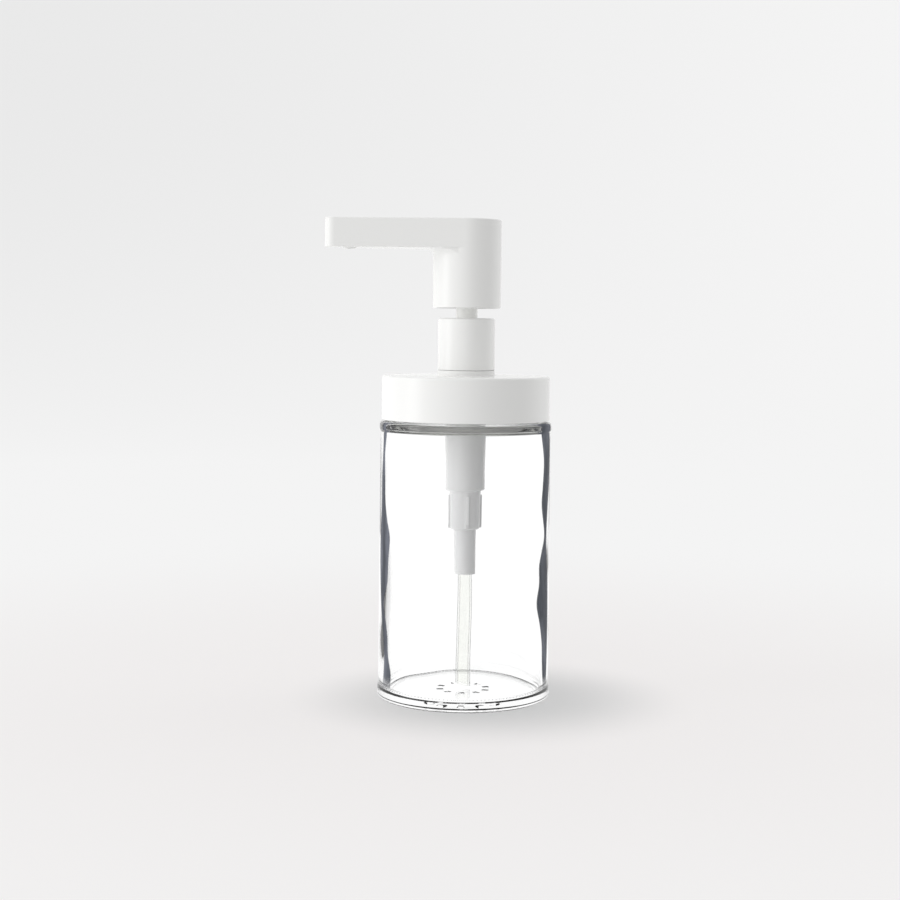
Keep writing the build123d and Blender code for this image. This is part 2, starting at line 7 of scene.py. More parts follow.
import logging
import math
from dataclasses import dataclass
from enum import Enum
from typing import Any, Callable, Optional, Sequence

import bpy
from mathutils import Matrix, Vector


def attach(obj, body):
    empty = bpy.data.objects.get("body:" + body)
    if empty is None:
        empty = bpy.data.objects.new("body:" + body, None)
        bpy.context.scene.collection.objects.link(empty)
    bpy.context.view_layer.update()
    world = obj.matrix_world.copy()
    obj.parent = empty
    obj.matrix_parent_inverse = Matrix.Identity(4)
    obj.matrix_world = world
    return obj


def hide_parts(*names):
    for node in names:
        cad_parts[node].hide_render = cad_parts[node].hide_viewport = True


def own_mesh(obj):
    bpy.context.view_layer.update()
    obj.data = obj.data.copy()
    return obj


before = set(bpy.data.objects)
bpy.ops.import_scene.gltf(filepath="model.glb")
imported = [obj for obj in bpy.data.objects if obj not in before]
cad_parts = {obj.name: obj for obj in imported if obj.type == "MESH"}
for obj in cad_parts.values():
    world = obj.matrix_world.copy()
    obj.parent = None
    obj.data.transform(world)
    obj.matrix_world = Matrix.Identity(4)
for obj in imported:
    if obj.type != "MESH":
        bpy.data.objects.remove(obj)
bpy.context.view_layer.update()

LOG = logging.getLogger("dispenser")
MM = 0.001

Point = tuple[float, ...]


# ---------------------------------------------------------------------------------------------
# Shader tools
# ---------------------------------------------------------------------------------------------


class Number:
    """A number socket that adds Math nodes when it is worked with."""

    def __init__(self, graph: "Graph", socket: bpy.types.NodeSocket) -> None:
        """Args:
            graph: The node graph that the socket belongs to.
            socket: The output socket that is wrapped.
        """
        self.graph = graph
        self.socket = socket

    def _math(self, operation: str, *values: Any) -> "Number":
        """Add one Math node.

        Args:
            operation: The Math node's operation.
            values: Its inputs, in order.

        Returns:
            The node's result.
        """
        node = self.graph.node("ShaderNodeMath", {"operation": operation}, dict(enumerate(values)))
        return Number(self.graph, node.outputs[0])

    def __add__(self, other: Any) -> "Number":
        """Sum."""
        return self._math("ADD", self, other)

    __radd__ = __add__

    def __sub__(self, other: Any) -> "Number":
        """Difference."""
        return self._math("SUBTRACT", self, other)

    def __rsub__(self, other: Any) -> "Number":
        """Difference, the other way round."""
        return self._math("SUBTRACT", other, self)

    def __mul__(self, other: Any) -> "Number":
        """Product."""
        return self._math("MULTIPLY", self, other)

    __rmul__ = __mul__

    def clamped(self, low: float, high: float, soft: bool = True) -> "Number":
        """Rise from 0 at low to 1 at high.

        Args:
            low: Where the rise starts.
            high: Where the rise ends.
            soft: Ease in and out.

        Returns:
            The mask.
        """
        kind = "SMOOTHSTEP" if soft else "LINEAR"
        node = self.graph.node(
            "ShaderNodeMapRange",
            {"interpolation_type": kind, "clamp": True},
            {"Value": self, "From Min": low, "From Max": high},
        )
        return Number(self.graph, node.outputs["Result"])


class Graph:
    """The node graph of one material or world, with a short way to add nodes."""

    def __init__(self, tree: bpy.types.NodeTree) -> None:
        """Args:
            tree: The node tree, which is emptied.
        """
        self.tree = tree
        tree.nodes.clear()

    def node(self, kind: str, settings: Optional[dict] = None,
             inputs: Optional[dict] = None) -> bpy.types.Node:
        """Add one node.

        Args:
            kind: The node's type name.
            settings: Its own settings.
            inputs: Values or links by socket name or number.

        Returns:
            The node.
        """
        made = self.tree.nodes.new(kind)
        for key, value in (settings or {}).items():
            setattr(made, key, value)
        for key, value in (inputs or {}).items():
            socket = made.inputs[key]
            if isinstance(value, Number):
                self.tree.links.new(value.socket, socket)
            elif isinstance(value, bpy.types.NodeSocket):
                self.tree.links.new(value, socket)
            else:
                socket.default_value = value
        return made

    def coordinates(self) -> bpy.types.NodeSocket:
        """Object coordinates."""
        return self.node("ShaderNodeTexCoord").outputs["Object"]

    def height(self) -> Number:
        """Height above the floor."""
        split = self.node("ShaderNodeSeparateXYZ", None, {"Vector": self.coordinates()})
        return Number(self, split.outputs["Z"])

    def reach(self) -> Number:
        """Distance from the axis."""
        flat = self.node("ShaderNodeVectorMath", {"operation": "MULTIPLY"},
                         {0: self.coordinates(), 1: (1.0, 1.0, 0.0)})
        length = self.node("ShaderNodeVectorMath", {"operation": "LENGTH"}, {0: flat.outputs[0]})
        return Number(self, length.outputs["Value"])

    def facing(self) -> Number:
        """How edge on the surface is seen: 0 face on, 1 edge on."""
        node = self.node("ShaderNodeLayerWeight", None, {"Blend": 0.5})
        return Number(self, node.outputs["Facing"])

    def noise(self, scale: float, detail: float = 2.0, roughness: float = 0.5,
              stretch: Point = (1.0, 1.0, 1.0)) -> Number:
        """Cloudy noise on Object coordinates.

        Args:
            scale: Waves for each metre, roughly.
            detail: Octaves.
            roughness: Share that each octave keeps.
            stretch: Scale along each axis.

        Returns:
            The noise, about 0.5 in the middle.
        """
        mapped = self.node("ShaderNodeMapping", None,
                           {"Vector": self.coordinates(), "Scale": stretch})
        made = self.node("ShaderNodeTexNoise", None, {
            "Vector": mapped.outputs[0], "Scale": scale, "Detail": detail, "Roughness": roughness})
        return Number(self, made.outputs["Fac"])

    def mix(self, factor: Any, first: Any, second: Any) -> bpy.types.NodeSocket:
        """Mix two colours.

        Args:
            factor: 0 gives the first, 1 the second.
            first: A colour or a colour socket.
            second: A colour or a colour socket.

        Returns:
            The mixed colour.
        """
        node = self.node("ShaderNodeMix", {"data_type": "RGBA"}, {0: factor})
        for slot, value in ((6, first), (7, second)):
            if isinstance(value, bpy.types.NodeSocket):
                self.tree.links.new(value, node.inputs[slot])
            else:
                node.inputs[slot].default_value = (*value, 1.0)
        return node.outputs[2]

    def bump(self, height: Number, strength: float, depth: float) -> bpy.types.NodeSocket:
        """Turn a height into a normal.

        Args:
            height: The height, 0 to 1.
            strength: How much of it shows.
            depth: What a height of 1 measures, in metres.

        Returns:
            The normal.
        """
        node = self.node("ShaderNodeBump", None,
                         {"Height": height, "Strength": strength, "Distance": depth})
        return node.outputs["Normal"]

    def out(self, shader: bpy.types.NodeSocket) -> None:
        """End the graph.

        Args:
            shader: The surface shader.
        """
        self.node("ShaderNodeOutputMaterial", None, {"Surface": shader})


def new_graph(name: str) -> tuple[bpy.types.Material, Graph]:
    """Make an empty material.

    Args:
        name: Its name.

    Returns:
        The material and its graph.
    """
    material = bpy.data.materials.new(name)
    material.use_nodes = True
    return material, Graph(material.node_tree)


# ---------------------------------------------------------------------------------------------
# Finishes
# ---------------------------------------------------------------------------------------------


@dataclass(frozen=True)
class MouldedPlastic:
    """Moulded plastic with faint flow and orange peel.

    Attributes:
        name: The material's name.
        colour: Base colour.
        shade: Base colour where the moulding is a little thicker.
        gloss: Roughness of the shiny patches.
        dull: Roughness of the dull patches.
        peel: Depth of the orange peel, in metres.
        glow: Light of its own that stands for light shining through, as a share of the colour.
        ribs: Where raised ribs get a painted highlight, a near-white base colour: radius, lowest and
            highest point, in metres.
    """

    name: str
    colour: Point = (0.88, 0.88, 0.875)
    shade: Point = (0.865, 0.865, 0.855)
    gloss: float = 0.10
    dull: float = 0.20
    peel: float = 0.00002
    glow: float = 0.0
    ribs: Optional[Point] = None

    def make(self) -> bpy.types.Material:
        """Build the material.

        Returns:
            The material.
        """
        material, graph = new_graph(self.name)
        flow = graph.noise(38.0, 3.0, stretch=(1.0, 1.0, 0.35)).clamped(0.35, 0.65)
        wear = graph.noise(160.0, 4.0, 0.6).clamped(0.4, 0.7)
        peel = graph.noise(1400.0, 2.0)
        sink = graph.noise(60.0, 1.0)
        rough = self.gloss + (self.dull - self.gloss) * wear
        normal = graph.bump(peel * 0.4 + sink * 0.6, 0.25, self.peel * 10)
        colour = graph.mix(flow, self.colour, self.shade)
        # Painted highlight: the base colour turns near white where the raised ribs stand.
        if self.ribs is not None:
            reach, low, high = self.ribs
            level = graph.height()
            rib_highlight = graph.reach().clamped(reach - 0.0001, reach + 0.0001)
            rib_highlight = rib_highlight * level.clamped(low - 0.0002, low) * (high - level).clamped(-0.0002, 0.0)
            colour = graph.mix(rib_highlight, colour, (0.97, 0.97, 0.97))
        shader = graph.node("ShaderNodeBsdfPrincipled", None, {
            "Base Color": colour,
            "Roughness": rough,
            "IOR": 1.49,
            "Emission Color": colour,
            "Emission Strength": self.glow,
            "Normal": normal,
        })
        graph.out(shader.outputs[0])
        return material


@dataclass(frozen=True)
class ClearGlass:
    """Pressed soda-lime glass. Its outside darkens in a wavy band along the edges, a painted dark
    reflection where the glass is seen edge on.

    Attributes:
        name: The material's name.
        band: Tint of the dark band, a painted dark reflection.
        painted_band_light: Tint of the band's lighter stretches in that painted reflection.
        painted_dark: Colour of the opaque dark that covers the band, a painted shade laid over the
            glass.
        pale: Colour of that painted dark's lighter stretches.
        start: How edge on the band's inner boundary lies, 0 to 1.
        wander: How far that boundary wanders.
        end: How edge on the band's outer boundary lies.
        wave_scale: Waves of the inner boundary for each metre.
        edge_scale: Waves of the outer boundary for each metre.
        edge_wander: How far the outer boundary wanders.
        streak_scale: Streaks in the band for each metre.
        soft_in: Width of the inner boundary.
        soft_out: Half the width of the outer boundary.
        foot: Heights between which the band fades in above the heel, in metres.
        cover: How far the opaque painted dark hides the glass in the middle of the band, 0 to 1.
        banded: Whether there is a band at all.
    """

    name: str = "clear_glass"
    band: Point = (0.007, 0.009, 0.012)
    painted_band_light: Point = (0.028, 0.034, 0.046)
    painted_dark: Point = (0.075, 0.082, 0.10)
    pale: Point = (0.17, 0.18, 0.215)
    start: float = 0.57
    wander: float = 0.50
    end: float = 0.76
    wave_scale: float = 34.0
    edge_scale: float = 24.0
    edge_wander: float = 0.5
    streak_scale: float = 150.0
    soft_in: float = 0.025
    soft_out: float = 0.02
    foot: Point = (0.004, 0.011)
    cover: float = 0.8
    banded: bool = True

    def make(self) -> bpy.types.Material:
        """Build the material.

        Returns:
            The material.
        """
        material, graph = new_graph(self.name)
        facing = graph.facing()
        # Painted dark reflection: a band set by how edge on the surface is seen, tinting the glass
        # dark.
        if self.banded:
            wave = graph.noise(self.wave_scale, 1.0) - 0.5
            fine = graph.noise(self.streak_scale, 2.0, stretch=(1.0, 1.0, 0.25))
            inner = self.start + wave * self.wander
            outer = self.end + (graph.noise(self.edge_scale, 0.0) - 0.5) * self.edge_wander
            band = (facing - inner).clamped(0.0, self.soft_in)
            band = band * (outer - facing).clamped(-self.soft_out, self.soft_out)
            band = band * graph.height().clamped(*self.foot)
            tone = graph.mix(fine.clamped(0.42, 0.68), self.band, self.painted_band_light)
            colour = graph.mix(band, (1.0, 1.0, 1.0), tone)
        else:
            colour = graph.mix(graph.noise(30.0), (1.0, 1.0, 1.0), (0.985, 0.99, 0.99))
        shader = graph.node("ShaderNodeBsdfPrincipled", None, {
            "Base Color": colour,
            "Roughness": 0.0,
            "IOR": 1.5,
            "Transmission Weight": 1.0,
        }).outputs[0]
        if self.banded:
            # Painted shade: an opaque dark laid over the glass where the band is.
            painted_dark = graph.node("ShaderNodeBsdfDiffuse", None, {
                "Color": graph.mix(fine.clamped(0.40, 0.66), self.painted_dark, self.pale)})
            shader = graph.node("ShaderNodeMixShader", None, {
                0: band * self.cover, 1: shader, 2: painted_dark.outputs[0]}).outputs[0]
        graph.out(shader)
        return material


@dataclass(frozen=True)
class ClearTube:
    """Extruded clear plastic tube, a little cloudy, with painted grey edges.

    Attributes:
        name: The material's name.
        tint: Colour of the plastic.
        edge: Colour where the wall is seen edge on, a painted dark reflection.
        gloss: Lowest roughness.
    """

    name: str = "clear_tube"
    tint: Point = (0.97, 0.975, 0.955)
    edge: Point = (0.13, 0.135, 0.14)
    gloss: float = 0.0

    def make(self) -> bpy.types.Material:
        """Build the material.

        Returns:
            The material.
        """
        material, graph = new_graph(self.name)
        lines = graph.noise(60.0, 1.0, stretch=(1.0, 1.0, 0.2))
        # Painted dark reflection: the base colour greys where the wall is seen edge on.
        shader = graph.node("ShaderNodeBsdfPrincipled", None, {
            "Base Color": graph.mix(graph.facing().clamped(0.34, 0.86), self.tint, self.edge),
            "Roughness": self.gloss + lines * 0.01,
            "IOR": 1.1,
            "Transmission Weight": 1.0,
        })
        graph.out(shader.outputs[0])
        return material


@dataclass(frozen=True)
class Metal:
    """Stainless steel, drawn or polished.

    Attributes:
        name: The material's name.
        colour: Colour of the metal.
        rough: Mean roughness.
        spread: How far the roughness varies.
    """

    name: str
    colour: Point
    rough: float
    spread: float

    def make(self) -> bpy.types.Material:
        """Build the material.

        Returns:
            The material.
        """
        material, graph = new_graph(self.name)
        drawn = graph.noise(2200.0, 3.0)
        shader = graph.node("ShaderNodeBsdfPrincipled", None, {
            "Base Color": graph.mix(drawn, self.colour, tuple(0.85 * part for part in self.colour)),
            "Metallic": 1.0,
            "Roughness": self.rough + (drawn - 0.5) * self.spread,
            "Normal": graph.bump(drawn, 0.1, 0.00005),
        })
        graph.out(shader.outputs[0])
        return material


# ---------------------------------------------------------------------------------------------
# Modelling tools
# ---------------------------------------------------------------------------------------------


def start_edit(obj: bpy.types.Object, pick: Optional[Callable[[Any], bool]] = None,
               kind: str = "FACE") -> None:
    """Open a mesh for editing with some of its faces, or all of it, selected.

    Args:
        obj: The piece.
        pick: Says of a face whether it is selected. Without it, everything is.
        kind: What the selection works on: VERT, EDGE or FACE.
    """
    bpy.ops.object.select_all(action="DESELECT")
    obj.select_set(True)
    bpy.context.view_layer.objects.active = obj
    bpy.ops.object.mode_set(mode="EDIT")
    bpy.ops.mesh.select_mode(type=kind)
    bpy.ops.mesh.select_all(action="SELECT" if pick is None else "DESELECT")
    if pick is not None:
        bpy.ops.object.mode_set(mode="OBJECT")
        for face in obj.data.polygons:
            face.select = pick(face)
        bpy.ops.object.mode_set(mode="EDIT")


def end_edit() -> None:
    """Leave edit mode."""
    bpy.ops.object.mode_set(mode="OBJECT")


def rounded(corners: Sequence[Point], steps: int = 6, gap: float = 3.0) -> list[Point]:
    """Round an outline's corners and divide its long sides.

    Args:
        corners: Radius and height of each corner, and its rounding if it has one, in millimetres.
        steps: Parts that each rounding is made of.
        gap: Longest side that is left whole.

    Returns:
        The outline's points.
    """
    points: list[Vector] = []
    for index, corner in enumerate(corners):
        here = Vector(corner[:2])
        if len(corner) < 3:
            points.append(here)
            continue
        back = (Vector(corners[index - 1][:2]) - here).normalized()
        ahead = (Vector(corners[index + 1][:2]) - here).normalized()
        half = back.angle(ahead) / 2
        reach = corner[2] / math.tan(half)
        middle = here + (back + ahead).normalized() * corner[2] / math.sin(half)
        first, last = here + back * reach - middle, here + ahead * reach - middle
        for step in range(steps + 1):
            points.append(middle + first.slerp(last, step / steps) * corner[2])
    filled = [points[0]]
    for before, after in zip(points, points[1:]):
        count = max(1, math.ceil((after - before).length / gap))
        filled += [before.lerp(after, (step + 1) / count) for step in range(count)]
    return [(point.x, point.y) for point in filled]


def spun(name: str, outline: Sequence[Point], steps: int = 96) -> bpy.types.Object:
    """Spin an outline around the axis.

    Args:
        name: The piece's name.
        outline: Radius and height of its points, in millimetres.
        steps: Parts of the full turn.

    Returns:
        The piece.
    """
    bpy.ops.object.select_all(action="DESELECT")
    bpy.ops.mesh.primitive_plane_add(size=MM)
    obj = bpy.context.object
    obj.name = obj.data.name = name
    start_edit(obj, kind="VERT")
    bpy.ops.mesh.merge(type="CENTER")
    bpy.ops.transform.translate(value=(outline[0][0] * MM, 0.0, outline[0][1] * MM))
    for before, after in zip(outline, outline[1:]):
        step = ((after[0] - before[0]) * MM, 0.0, (after[1] - before[1]) * MM)
        bpy.ops.mesh.extrude_vertices_move(TRANSFORM_OT_translate={"value": step})
    bpy.ops.mesh.select_all(action="SELECT")
    bpy.ops.mesh.spin(steps=steps, angle=math.tau, center=(0, 0, 0), axis=(0, 0, 1))
    bpy.ops.mesh.select_all(action="SELECT")
    bpy.ops.mesh.remove_doubles(threshold=0.001 * MM)
    bpy.ops.mesh.normals_make_consistent(inside=False)
    end_edit()
    return obj


def coiled(name: str, section: Sequence[Point], pitch: float, turns: float,
           steps: int) -> bpy.types.Object:
    """Screw a closed section up around the axis and close its ends.

    Args:
        name: The piece's name.
        section: Radius and height of its points, in millimetres.
        pitch: Rise of one turn, in millimetres.
        turns: Number of turns.
        steps: Parts of one turn.

    Returns:
        The piece.
    """
    bpy.ops.object.select_all(action="DESELECT")
    bpy.ops.mesh.primitive_circle_add(vertices=len(section), radius=MM)
    obj = bpy.context.object
    obj.name = obj.data.name = name
    for vertex, (radius, height) in zip(obj.data.vertices, section):
        vertex.co = (radius * MM, 0.0, height * MM)
    screw = obj.modifiers.new("turns", "SCREW")
    screw.angle = math.tau * turns
    screw.screw_offset = pitch * turns * MM
    screw.steps = screw.render_steps = round(steps * turns)
    screw.use_merge_vertices = False
    bpy.ops.object.modifier_apply(modifier=screw.name)
    start_edit(obj, kind="EDGE")
    bpy.ops.mesh.fill_holes(sides=len(section))
    bpy.ops.mesh.select_all(action="SELECT")
    bpy.ops.mesh.normals_make_consistent(inside=False)
    end_edit()
    return obj


def finish_piece(obj: bpy.types.Object, body: str, slot: str,
                 *nodes: str, angle: float = 40.0) -> bpy.types.Object:
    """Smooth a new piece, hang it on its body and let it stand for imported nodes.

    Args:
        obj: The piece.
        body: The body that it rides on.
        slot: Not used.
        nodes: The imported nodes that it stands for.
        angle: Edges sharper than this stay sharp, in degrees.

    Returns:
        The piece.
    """
    bpy.ops.object.select_all(action="DESELECT")
    obj.select_set(True)
    bpy.context.view_layer.objects.active = obj
    bpy.ops.object.shade_smooth_by_angle(angle=math.radians(angle))
    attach(obj, body)
    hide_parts(*nodes)
    LOG.info("%s built, %d faces, on %s", obj.name, len(obj.data.polygons), body)
    return obj


def dress(node: str, material: bpy.types.Material) -> None:
    """Give a carried-over node its material.

    Args:
        node: The node's name.
        material: The finish.
    """
    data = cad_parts[node].data
    data.materials.clear()
    data.materials.append(material)
    LOG.info("%s dressed as %s", node, material.name)


# ---------------------------------------------------------------------------------------------
# The object
# ---------------------------------------------------------------------------------------------


@dataclass
class Bottle:
    """Glass bottle: heel, body, shoulder ring, threaded neck and an uneven inner wall.

    Attributes:
        radius: Outside radius at the heel and the ring, in millimetres as all sizes here.
        panel: Radius of the body between heel and ring.
        inside: Mean radius of the inner wall.
        neck: Outside radius of the neck.
        bore: Inside radius of the neck.
        shoulder: Height of the shoulder.
        rim: Height of the rim.
        floor: Height of the inside floor.
        heel: Rounding of the heel outside.
        inside_heel: Rounding of the floor's edge inside.
        foot_width: Width of the flat ring that the bottle stands on.
        push_up: Height of the hollow under the base.
        push_up_slope: Width of the slope from that hollow down to the standing ring.
        push_up_bend: Rounding at the slope's upper end.
        run_in: Heights where the slope between heel and body starts and ends.
        run_in_bend: Rounding at both of its ends.
        ring_height: Height of the shoulder ring.
        ring_slope: Height of the slope between body and ring.
        ring_bend: Rounding at both of its ends.
        ring_edge: Rounding of the ring's upper edge.
        rim_edge: Rounding of the rim and of the corner between shoulder and neck.
        neck_slope: Height of the slope inside, from the neck to the body.
        neck_bends: Roundings at that slope's upper and lower end.
        wave: How far the inner wall wanders.
        wave_size: Size of one of its waves.
        wave_foot: How far above the floor the waves start, and the height over which they grow.
        wave_top: How far below the shoulder they end, and the height over which they fade.
        marks: Number of small recesses in the standing ring.
        mark_edge: Width of the edge left round a recess.
        mark_depth: Depth of a recess.
        dashes: Radii between which the dashes in the floor lie.
        dash_every: Steps of the turn from one dash to the next. A turn has two for each mark.
        dash_steps: Steps that a dash takes.
        dash_edge: Width of a dash's sloping edge.
        dash_depth: Depth of a dash.
        thread_start: Height above the shoulder of the thread's middle at its lower end.
        thread_sunk: How far its root goes into the neck.
        thread_depth: How far its crest stands out from the neck.
        thread_root: Half its width at the root.
        thread_crest: Half its width at the crest.
        pitch: Rise of one turn of the thread.
        turns: Number of its turns.
    """

    radius: float = 35.0
    panel: float = 34.6
    inside: float = 31.6
    neck: float = 29.6
    bore: float = 26.4
    shoulder: float = 111.6
    rim: float = 126.1
    floor: float = 3.0
    heel: float = 1.8
    inside_heel: float = 3.0
    foot_width: float = 2.0
    push_up: float = 1.0
    push_up_slope: float = 2.0
    push_up_bend: float = 1.0
    run_in: Point = (4.0, 6.0)
    run_in_bend: float = 2.0
    ring_height: float = 3.3
    ring_slope: float = 0.8
    ring_bend: float = 0.4
    ring_edge: float = 1.6
    rim_edge: float = 0.8
    neck_slope: float = 3.4
    neck_bends: Point = (2.4, 0.8)
    wave: float = 0.4
    wave_size: float = 22.0
    wave_foot: Point = (4.0, 15.0)
    wave_top: Point = (5.0, 12.0)
    marks: int = 120
    mark_edge: float = 0.12
    mark_depth: float = 0.3
    dashes: Point = (7.6, 10.4)
    dash_every: int = 24
    dash_steps: int = 9
    dash_edge: float = 0.3
    dash_depth: float = 0.35
    thread_start: float = 6.2
    thread_sunk: float = 0.3
    thread_depth: float = 1.2
    thread_root: float = 1.1
    thread_crest: float = 0.45
    pitch: float = 4.0
    turns: float = 1.2

    def foot(self) -> float:
        """Return the inner radius of the standing ring."""
        return self.radius - self.heel - self.foot_width

    def outline(self) -> list[Point]:
        """Return the outline, from the middle of the underside round to the middle of the floor."""
        foot = self.foot()
        ring = self.shoulder - self.ring_height
        return rounded((
            (0.0, self.push_up),
            (foot - self.push_up_slope, self.push_up, self.push_up_bend),
            (foot, 0.0),
            (foot + self.foot_width, 0.0),
            (self.radius, 0.0, self.heel),
            (self.radius, self.run_in[0], self.run_in_bend),
            (self.panel, self.run_in[1], self.run_in_bend),
            (self.panel, ring - self.ring_slope, self.ring_bend),
            (self.radius, ring, self.ring_bend),
            (self.radius, self.shoulder, self.ring_edge),
            (self.neck, self.shoulder, self.rim_edge),
            (self.neck, self.rim, self.rim_edge),
            (self.bore, self.rim, self.rim_edge),
            (self.bore, self.shoulder, self.neck_bends[0]),
            (self.inside, self.shoulder - self.neck_slope, self.neck_bends[1]),
            (self.inside, self.floor, self.inside_heel),
            (0.0, self.floor),
        ), steps=8, gap=1.4)

    def is_inside(self, face: bpy.types.MeshPolygon) -> bool:
        """Say whether a face belongs to the inner surface.

        Args:
            face: The face.

        Returns:
            Whether it does.
        """
        x, y, z = (part / MM for part in face.center)
        reach = math.hypot(x, y)
        above = z > self.floor - 0.5
        if reach < self.bore - 0.1 and above:
            return True
        inward = face.normal.x * x + face.normal.y * y < 0
        corner = z < self.floor + self.inside_heel + 0.1 and face.normal.z > 0.2
        return above and z < self.rim - 0.5 and (inward or corner and reach < self.inside)

    def uneven(self, obj: bpy.types.Object) -> None:
        """Let the inner wall wander a little.

        Args:
            obj: The bottle.
        """
        foot, growth = self.wave_foot
        top, fading = self.wave_top
        group = obj.vertex_groups.new(name="inner_wall")
        for vertex in obj.data.vertices:
            x, y, z = (part / MM for part in vertex.co)
            if abs(math.hypot(x, y) - self.inside) < 0.05:
                ease = min(1.0, (z - self.floor - foot) / growth, (self.shoulder - top - z) / fading)
                group.add([vertex.index], max(0.0, ease), "REPLACE")
        clouds = bpy.data.textures.new("wall_waves", "CLOUDS")
        clouds.noise_scale = self.wave_size * MM
        clouds.noise_depth = 0
        wander = obj.modifiers.new("uneven wall", "DISPLACE")
        wander.texture = clouds
        wander.texture_coords = "LOCAL"
        wander.vertex_group = group.name
        wander.strength = 2 * self.wave * MM
        wander.mid_level = 0.5
        bpy.context.view_layer.objects.active = obj
        bpy.ops.object.modifier_apply(modifier=wander.name)

    def marked(self, obj: bpy.types.Object) -> None:
        """Press small recesses into the standing ring and a ring of dashes into the floor.

        Args:
            obj: The bottle.
        """
        foot = self.foot()

        def step_of(face: bpy.types.MeshPolygon) -> int:
            """Return which part of the turn a face stands in."""
            turn = math.atan2(face.center.y, face.center.x) / math.tau % 1.0
            return int(turn * 2 * self.marks)

        def in_ring(face: bpy.types.MeshPolygon) -> bool:
            """Say whether a face is every other one of the standing ring."""
            reach = face.center.xy.length / MM
            flat = face.normal.z < -0.99 and face.center.z < 0.05 * MM
            return flat and foot < reach < foot + self.foot_width and step_of(face) % 2 == 0

        def in_dash(face: bpy.types.MeshPolygon) -> bool:
            """Say whether a face is part of a dash in the floor."""
            reach = face.center.xy.length / MM
            low = face.normal.z > 0.99 and abs(face.center.z / MM - self.floor) < 0.1
            near, far = self.dashes
            return low and near < reach < far and step_of(face) % self.dash_every < self.dash_steps

        start_edit(obj, in_ring)
        bpy.ops.mesh.inset(thickness=self.mark_edge * MM, depth=-self.mark_depth * MM,
                           use_individual=True)
        end_edit()
        start_edit(obj, in_dash)
        bpy.ops.mesh.inset(thickness=self.dash_edge * MM, depth=-self.dash_depth * MM,
                           use_individual=False)
        end_edit()

    def threaded(self, obj: bpy.types.Object) -> None:
        """Add the neck's thread.

        Args:
            obj: The bottle.
        """
        middle = self.shoulder + self.thread_start
        root, crest = self.neck - self.thread_sunk, self.neck + self.thread_depth
        section = ((root, middle - self.thread_root), (crest, middle - self.thread_crest),
                   (crest, middle + self.thread_crest), (root, middle + self.thread_root))
        thread = coiled("neck_thread", section, self.pitch, self.turns, steps=90)
        union = obj.modifiers.new("thread", "BOOLEAN")
        union.operation = "UNION"
        union.solver = "EXACT"
        union.object = thread
        bpy.ops.object.select_all(action="DESELECT")
        bpy.context.view_layer.objects.active = obj
        bpy.ops.object.modifier_apply(modifier=union.name)
        bpy.data.objects.remove(thread)

    def build(self) -> None:
        """Build and dress the bottle."""
        obj = spun("bottle_glass", self.outline(), 2 * self.marks)
        self.uneven(obj)
        self.marked(obj)
        self.threaded(obj)
        obj.data.materials.clear()
        obj.data.materials.append(ClearGlass().make())
        obj.data.materials.append(ClearGlass("clear_glass_inside", banded=False).make())
        start_edit(obj, self.is_inside)
        obj.active_material_index = 1
        bpy.ops.object.material_slot_assign()
        end_edit()
        obj.visible_shadow = False
        finish_piece(obj, "bottle", "clear_glass", "glass_bottle")


@dataclass
class PumpCore:
    """What hangs in the bottle: housing with its valve chamber, collar, guide, spring, tube.

    Attributes:
        wire: Thickness of the spring's wire, in millimetres as all sizes here.
        coil: Mean radius of the spring.
        low: Height of the spring's lower end.
        high: Height of its upper end.
        turns: Number of its turns.
        travel: How far the head is pressed. Not used.
    """

    wire: float = 1.0
    coil: float = 5.6
    low: float = 85.9
    high: float = 116.4
    turns: float = 8.0
    travel: float = 15.0

    def spring(self, steel: bpy.types.Material) -> None:
        """Wind the return spring.

        Args:
            steel: Its finish.
        """
        sides = 12
        foot = self.low + self.wire / 2
        section = [(self.coil + self.wire / 2 * math.cos(math.tau * side / sides),
                    foot + self.wire / 2 * math.sin(math.tau * side / sides))
                   for side in range(sides)]
        pitch = (self.high - self.low - self.wire) / self.turns
        obj = coiled("return_spring", section, pitch, self.turns, 40)
        obj.data.materials.append(steel)
        finish_piece(obj, "pump_core", "spring_steel", "spring")
        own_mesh(obj)

    def build(self) -> None:
        """Dress the pump's pieces and wind its spring."""
        # The housing's raised ribs get a painted highlight.
        milky = MouldedPlastic("milky_plastic", (0.82, 0.82, 0.82), (0.78, 0.785, 0.79), 0.10, 0.18,
                               ribs=(0.0068, 0.070, 0.0834))
        body = milky.make()
        natural = MouldedPlastic("natural_plastic", (0.80, 0.80, 0.78), (0.76, 0.76, 0.74),
                                 0.3, 0.45).make()
        dress("pump_housing", body)
        dress("ball_cage", natural)
        dress("stem_guide", natural)
        dress("housing_gasket", foam_seal())
        dress("collar", white_plastic())
        dress("dip_tube", ClearTube().make())
        self.spring(Metal("spring_steel", (0.62, 0.62, 0.64), 0.25, 0.2).make())


@dataclass
class Cap:
    """Wide cap: smooth cover, threaded closure and the seal on the bottle's rim."""

    cover: str = "cap_cover"
    closure: str = "closure"
    seal: str = "neck_gasket"

    def build(self) -> None:
        """Dress the cap's pieces."""
        dress(self.cover, white_plastic())
        dress(self.closure, MouldedPlastic("closure_plastic", (0.78, 0.79, 0.74),
                                           (0.74, 0.75, 0.70), 0.3, 0.45, glow=0.1).make())
        dress(self.seal, foam_seal())


@dataclass
class Head:
    """Head with its long spout, the stem below it and the tube to the nozzle."""

    shell: tuple[str, ...] = ("head_cover", "spout_underplate", "nozzle_tip")
    stem: str = "stem"
    hidden: tuple[str, ...] = ("stem_socket", "spout_tube", "piston_rod")

    def build(self) -> None:
        """Dress the head's pieces."""
        for node in self.shell:
            dress(node, white_plastic())
        dress(self.stem, MouldedPlastic("stem_plastic", (0.95, 0.95, 0.93), (0.93, 0.93, 0.91),
                                        0.2, 0.32, glow=0.16).make())
        inner = MouldedPlastic("inner_plastic", (0.84, 0.84, 0.82), (0.80, 0.80, 0.78),
                               0.3, 0.45).make()
        for node in self.hidden:
            dress(node, inner)


